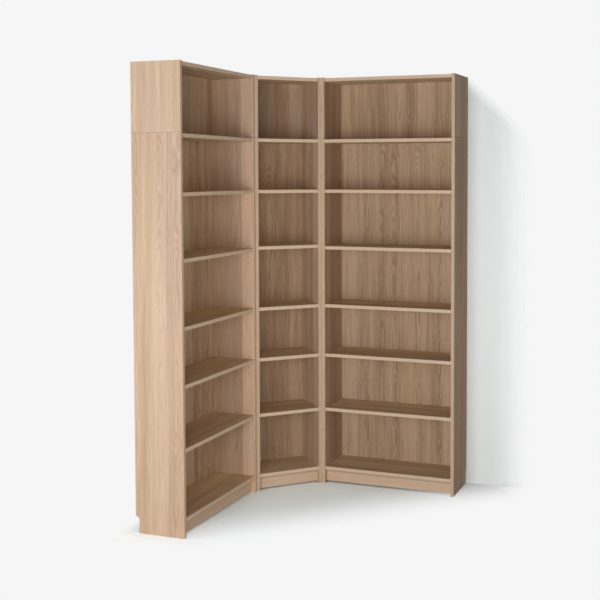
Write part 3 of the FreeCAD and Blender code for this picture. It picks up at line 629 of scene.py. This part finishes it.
metalValues = {
    "zinc plate": {"light": (0.66, 0.66, 0.63, 1), "dark": (0.50, 0.50, 0.49, 1),
                   "roughness": (0.26, 0.46), "spangle": 0.15, "grainSize": 0.8 * millimetre,
                   "relief": 0.02 * millimetre},
    "cast zinc": {"light": (0.50, 0.50, 0.51, 1), "dark": (0.34, 0.34, 0.35, 1),
                  "roughness": (0.42, 0.62), "spangle": 0.3, "grainSize": 0.5 * millimetre,
                  "relief": 0.06 * millimetre},
    "galvanised steel": {"light": (0.68, 0.69, 0.70, 1), "dark": (0.42, 0.44, 0.46, 1),
                         "roughness": (0.30, 0.55), "spangle": 0.8,
                         "grainSize": 7 * millimetre, "relief": 0.02 * millimetre},
    "bright steel": {"light": (0.58, 0.57, 0.55, 1), "dark": (0.36, 0.35, 0.34, 1),
                     "roughness": (0.22, 0.48), "spangle": 0.1, "grainSize": 0.4 * millimetre,
                     "relief": 0.03 * millimetre},
}
metalGrainValues = {
    "smudgeNoise": ((110, 110, 110), 4, 0.6),
    "smudgeLimits": (0.25, 0.75),
    "scratchNoise": ((2600, 900, 140), 2, 0.5),
    "scratchLimits": (0.60, 0.70),
    "scratchShade": 0.3,
}


def makeMetalGrain(values):
    tree, given, result = newGroup(
        "Metal grain",
        [("Vector", "Vector", (0, 0, 0)), ("Grain Size", "Float", millimetre),
         ("Spangle", "Float", 0.3)],
        [("Shade", "Float"), ("Smudge", "Float"), ("Height", "Float")])
    place = given.outputs["Vector"]
    crystals = addNode(tree, "ShaderNodeTexVoronoi")
    link(tree, place, crystals.inputs["Vector"])
    link(tree, calculate(tree, "DIVIDE", 1.0, given.outputs["Grain Size"]),
         crystals.inputs["Scale"])
    crystal = splitVector(tree, crystals.outputs["Color"])[0]
    smudge = noise(tree, place, *values["smudgeNoise"])
    scratches = specks(tree, place, values["scratchNoise"], values["scratchLimits"])
    link(tree, mixValues(tree, given.outputs["Spangle"], smudge, crystal),
         result.inputs["Shade"])
    link(tree, calculate(tree, "MULTIPLY_ADD", scratches, values["scratchShade"], smudge,
                         clamp=True), result.inputs["Smudge"])
    link(tree, calculate(tree, "SUBTRACT", crystal, scratches), result.inputs["Height"])
    return tree


metalGrain = makeMetalGrain(metalGrainValues)


def makeMetal(name, values):
    material, tree, shader = newMaterial(name.capitalize())
    surface = addGroup(tree, metalGrain, {
        "Vector": objectPlace(tree), "Grain Size": values["grainSize"],
        "Spangle": values["spangle"]})
    link(tree, mixColors(tree, surface["Shade"], values["light"], values["dark"]),
         shader.inputs["Base Color"])
    link(tree, spreadValue(tree, surface["Smudge"], *metalGrainValues["smudgeLimits"],
                           *values["roughness"]), shader.inputs["Roughness"])
    shader.inputs["Metallic"].default_value = 1.0
    addBump(tree, shader, surface["Height"], values["relief"])
    return material


# Beech dowels: flecked, with fluted sides from the mesh

beechValues = {
    "light": (0.68, 0.49, 0.32, 1),
    "dark": (0.50, 0.33, 0.20, 1),
    "growthNoise": ((260, 260, 90), 4, 0.6),
    "growthLimits": (0.3, 0.7),
    "fleck": (0.36, 0.21, 0.12, 1),
    "fleckNoise": ((1500, 1500, 500), 2, 0.5),
    "fleckLimits": (0.60, 0.68),
    "fleckStrength": 0.6,
    "roughness": (0.54, 0.70),
    "relief": 0.08 * millimetre,
}


def makeBeech(values):
    material, tree, shader = newMaterial("Beech")
    place = objectPlace(tree)
    growth = noise(tree, place, *values["growthNoise"])
    flecks = specks(tree, place, values["fleckNoise"], values["fleckLimits"])
    color = mixColors(tree, spreadValue(tree, growth, *values["growthLimits"]),
                      values["light"], values["dark"])
    fleckShade = calculate(tree, "MULTIPLY", flecks, values["fleckStrength"])
    link(tree, mixColors(tree, fleckShade, color, values["fleck"]),
         shader.inputs["Base Color"])
    link(tree, spreadValue(tree, growth, *values["growthLimits"], *values["roughness"]),
         shader.inputs["Roughness"])
    addBump(tree, shader, calculate(tree, "SUBTRACT", growth, flecks), values["relief"])
    return material


finishes = {name: makeMetal(name, values) for name, values in metalValues.items()}
finishes["beech"] = makeBeech(beechValues)
fittings = {
    "cam_bolts": "zinc plate", "shelf_pegs": "zinc plate", "corner_bracket_screws": "zinc plate",
    "wall_bracket_screws": "zinc plate", "cam_locks": "cast zinc",
    "corner_brackets": "galvanised steel", "wall_brackets": "galvanised steel",
    "bookcase_back_nails": "bright steel", "extension_back_nails": "bright steel",
    "board_dowels": "beech", "extension_dowels": "beech",
}
for name, finish in fittings.items():
    setMaterial(name, finishes[finish])
print("fittings finished:", len(fittings))


# Floor, and a backdrop that takes the soft shadow beside the object

stageValues = {
    "floorReach": 15.0,
    "matt": 0.86,
    "floorShade": (2.03, 2.38, 2.56, 1),
    "outerShade": (2.2, 2.28, 2.3, 1),  # outside, where the object throws no warm light
    "outerFade": (-0.32, -0.16),  # metres outside the ground's box
    "groundCorner": 0.28,  # how far right of the middle the line of the front corners passes
    "outerSlopes": ((-5.0, 1.5), (-5.0, 5.0)),  # how soon the shadow fades on the four sides
    "floorFade": (-0.32, 0.22),  # metres outside the three-cornered ground of the object
    # painted shadow on the floor near the object, from ambient occlusion
    "paintedShadowReach": 0.45,
    "paintedShadowStrength": 0.6,
    "paintedShadowSamples": 8,
    "backdropShade": (1.28, 1.35, 1.36, 1),
    "backdropGap": 2 * millimetre,
    "backdropInset": 15 * millimetre,  # covers the view through the skirting recess
    "backdropFade": (0.12, 0.40),  # metres to the right of the object
    "shadowSlope": 0.9,  # the shadow on the backdrop ends below a sloping line
    "shadowSoftness": 0.12,
    "wedge": (-0.33, -0.117),  # seen through the gap between the corner and right bookcases
    "wedgeDrop": 40 * millimetre,  # how far below the object's top the wedge ends
    "skyShade": 0.92,
    "skyLight": 0.08,
}


def makePanel(name, reach, turn=0.0, place=(0, 0, 0)):
    mesh = bpy.data.meshes.new(name)
    shape = bmesh.new()
    bmesh.ops.create_grid(shape, x_segments=1, y_segments=1, size=reach)
    bmesh.ops.rotate(shape, verts=shape.verts, cent=(0, 0, 0),
                     matrix=Matrix.Rotation(math.radians(turn), 3, "X"))
    bmesh.ops.translate(shape, verts=shape.verts, vec=place)
    shape.to_mesh(mesh)
    shape.free()
    panel = bpy.data.objects.new(name, mesh)
    bpy.context.scene.collection.objects.link(panel)
    return panel


def seenRays(tree):
    # 1 for rays from the camera, off metal or through glass, and 0 for rays that carry light
    path = addNode(tree, "ShaderNodeLightPath")
    seen = calculate(tree, "MAXIMUM", path.outputs["Is Camera Ray"],
                     path.outputs["Is Glossy Ray"])
    return calculate(tree, "MAXIMUM", seen, path.outputs["Is Transmission Ray"])


def mixShaders(tree, factor, first, second):
    node = addNode(tree, "ShaderNodeMixShader")
    feed(tree, node.inputs[0], factor)
    link(tree, first, node.inputs[1])
    link(tree, second, node.inputs[2])
    return node.outputs[0]


def addPlain(tree, kind, color):
    node = addNode(tree, kind)
    feed(tree, node.inputs["Color"], color)
    return node.outputs[0]


def buildFloor(values):
    # Light meets a matt floor; the camera sees it paler, darkened by a painted shadow near the
    # object, and plain a way off
    material, tree, surface = emptyMaterial("Floor")
    shader = addNode(tree, "ShaderNodeBsdfPrincipled")
    shader.inputs["Base Color"].default_value = grey(values["matt"])
    shader.inputs["Roughness"].default_value = 1.0
    shader.inputs["Specular IOR Level"].default_value = 0.0
    # Painted shadow: ambient occlusion darkens the floor that the camera sees, near and under
    # the object
    occlusion = addNode(tree, "ShaderNodeAmbientOcclusion", samples=values["paintedShadowSamples"])
    occlusion.inputs["Distance"].default_value = values["paintedShadowReach"]
    paintedFloorShadow = calculate(tree, "MULTIPLY_ADD", occlusion.outputs["AO"],
                         -values["paintedShadowStrength"], values["paintedShadowStrength"])
    plain = addPlain(tree, "ShaderNodeEmission", grey(values["skyShade"]))

    # Distance outside the ground's box, or before the 45 degree line of its front corners
    across, inwards, _ = splitVector(tree, objectPlace(tree))
    start = values["floorFade"][0]
    outside = start
    for place, axis in ((across, 0), (inwards, 1)):
        for corner, slope in zip(cadBox, values["outerSlopes"][axis]):
            side = calculate(tree, "MULTIPLY_ADD", place, slope, start - slope * corner[axis])
            outside = calculate(tree, "MAXIMUM", side, outside)
    before = calculate(tree, "MULTIPLY", math.sqrt(0.5), calculate(
        tree, "SUBTRACT", calculate(tree, "SUBTRACT", across, inwards),
        values["groundCorner"]))
    beyond = calculate(tree, "MAXIMUM", outside, before)
    faded = spreadValue(tree, beyond, *values["floorFade"], smooth=True)
    shade = mixColors(tree, spreadValue(tree, outside, *values["outerFade"]),
                      values["floorShade"], values["outerShade"])
    pale = addPlain(tree, "ShaderNodeBsdfDiffuse", mixColors(tree, paintedFloorShadow, shade, grey(0)))
    seen = mixShaders(tree, faded, pale, plain)
    link(tree, mixShaders(tree, seenRays(tree), shader.outputs[0], seen), surface)
    makePanel("Floor", values["floorReach"]).data.materials.append(material)


def buildBackdrop(values):
    # Seen only from its front: beside the object, where it takes the shadow, and in the wedge
    right, rear, top = cadBox[1]
    material, tree, surface = emptyMaterial("Backdrop")
    clear = addNode(tree, "ShaderNodeBsdfTransparent").outputs[0]
    pale = addPlain(tree, "ShaderNodeBsdfDiffuse", values["backdropShade"])
    across, _, height = splitVector(tree, objectPlace(tree))
    near, far = values["backdropFade"]
    shown = spreadValue(tree, across, right + near, right + far, 1.0, 0.0, smooth=True)
    shown = calculate(tree, "MULTIPLY", shown, calculate(
        tree, "GREATER_THAN", across, right - values["backdropInset"]))
    line = calculate(tree, "MULTIPLY_ADD", calculate(tree, "SUBTRACT", across, right),
                     -values["shadowSlope"], top)
    below = spreadValue(tree, calculate(tree, "SUBTRACT", line, height), 0.0,
                        values["shadowSoftness"], smooth=True)
    shown = calculate(tree, "MULTIPLY", shown, below)

    low, high = values["wedge"]
    wedge = calculate(tree, "MULTIPLY", calculate(tree, "GREATER_THAN", across, low),
                      calculate(tree, "LESS_THAN", across, high))
    wedge = calculate(tree, "MULTIPLY", wedge,
                      calculate(tree, "LESS_THAN", height, top - values["wedgeDrop"]))
    shown = calculate(tree, "MAXIMUM", shown, wedge)
    backfacing = addNode(tree, "ShaderNodeNewGeometry").outputs["Backfacing"]
    shown = calculate(tree, "MULTIPLY", shown, calculate(tree, "SUBTRACT", 1.0, backfacing))
    shown = calculate(tree, "MULTIPLY", shown, seenRays(tree))
    link(tree, mixShaders(tree, shown, clear, pale), surface)
    backdrop = makePanel("Backdrop", values["floorReach"], turn=90,
                         place=(0, rear + values["backdropGap"], 0))
    backdrop.data.materials.append(material)


def buildSky(values):
    world = bpy.data.worlds.new("World")
    bpy.context.scene.world = world
    world.use_nodes = True
    tree = world.node_tree
    tree.nodes.clear()
    skies = []
    for strength in (values["skyLight"], values["skyShade"]):
        sky = addNode(tree, "ShaderNodeBackground")
        sky.inputs["Color"].default_value = grey(1)
        sky.inputs["Strength"].default_value = strength
        skies.append(sky.outputs[0])
    output = addNode(tree, "ShaderNodeOutputWorld")
    link(tree, mixShaders(tree, seenRays(tree), *skies), output.inputs["Surface"])


buildFloor(stageValues)
buildBackdrop(stageValues)
buildSky(stageValues)
print("stage built")


# Soft lamps, all aimed at the middle of the object

lampAim = (0, 0.2, 1.2)
lamps = {  # place, width and height in metres, power in watts
    "Left lamp": ((-4.5, -3.6, 1.6), (2.5, 2.2), 92),
    "Front lamp": ((0.4, -5.5, 1.3), (2.5, 2.2), 94),
    "Near lamp": ((1.2, -3.2, 1.3), (1.4, 2.2), 21),
    "Side lamp": ((5.4, 0.1, 1.3), (1.4, 2.4), 25),
    "Rear lamp": ((-4.0, 5.0, 2.0), (3.0, 3.0), 60),
    "Top lamp": ((-0.75, 0.75, 3.4), (0.6, 0.6), 9),
}


def addLamp(name, place, size, power):
    data = bpy.data.lights.new(name, "AREA")
    data.shape = "RECTANGLE"
    data.size, data.size_y = size
    data.energy = power
    lamp = bpy.data.objects.new(name, data)
    bpy.context.scene.collection.objects.link(lamp)
    lamp.location = place
    lamp.rotation_euler = (Vector(lampAim) - Vector(place)).to_track_quat("-Z", "Y").to_euler()


for name, values in lamps.items():
    addLamp(name, *values)
bpy.context.scene.view_settings.view_transform = "Standard"
print("lamps placed:", len(lamps))
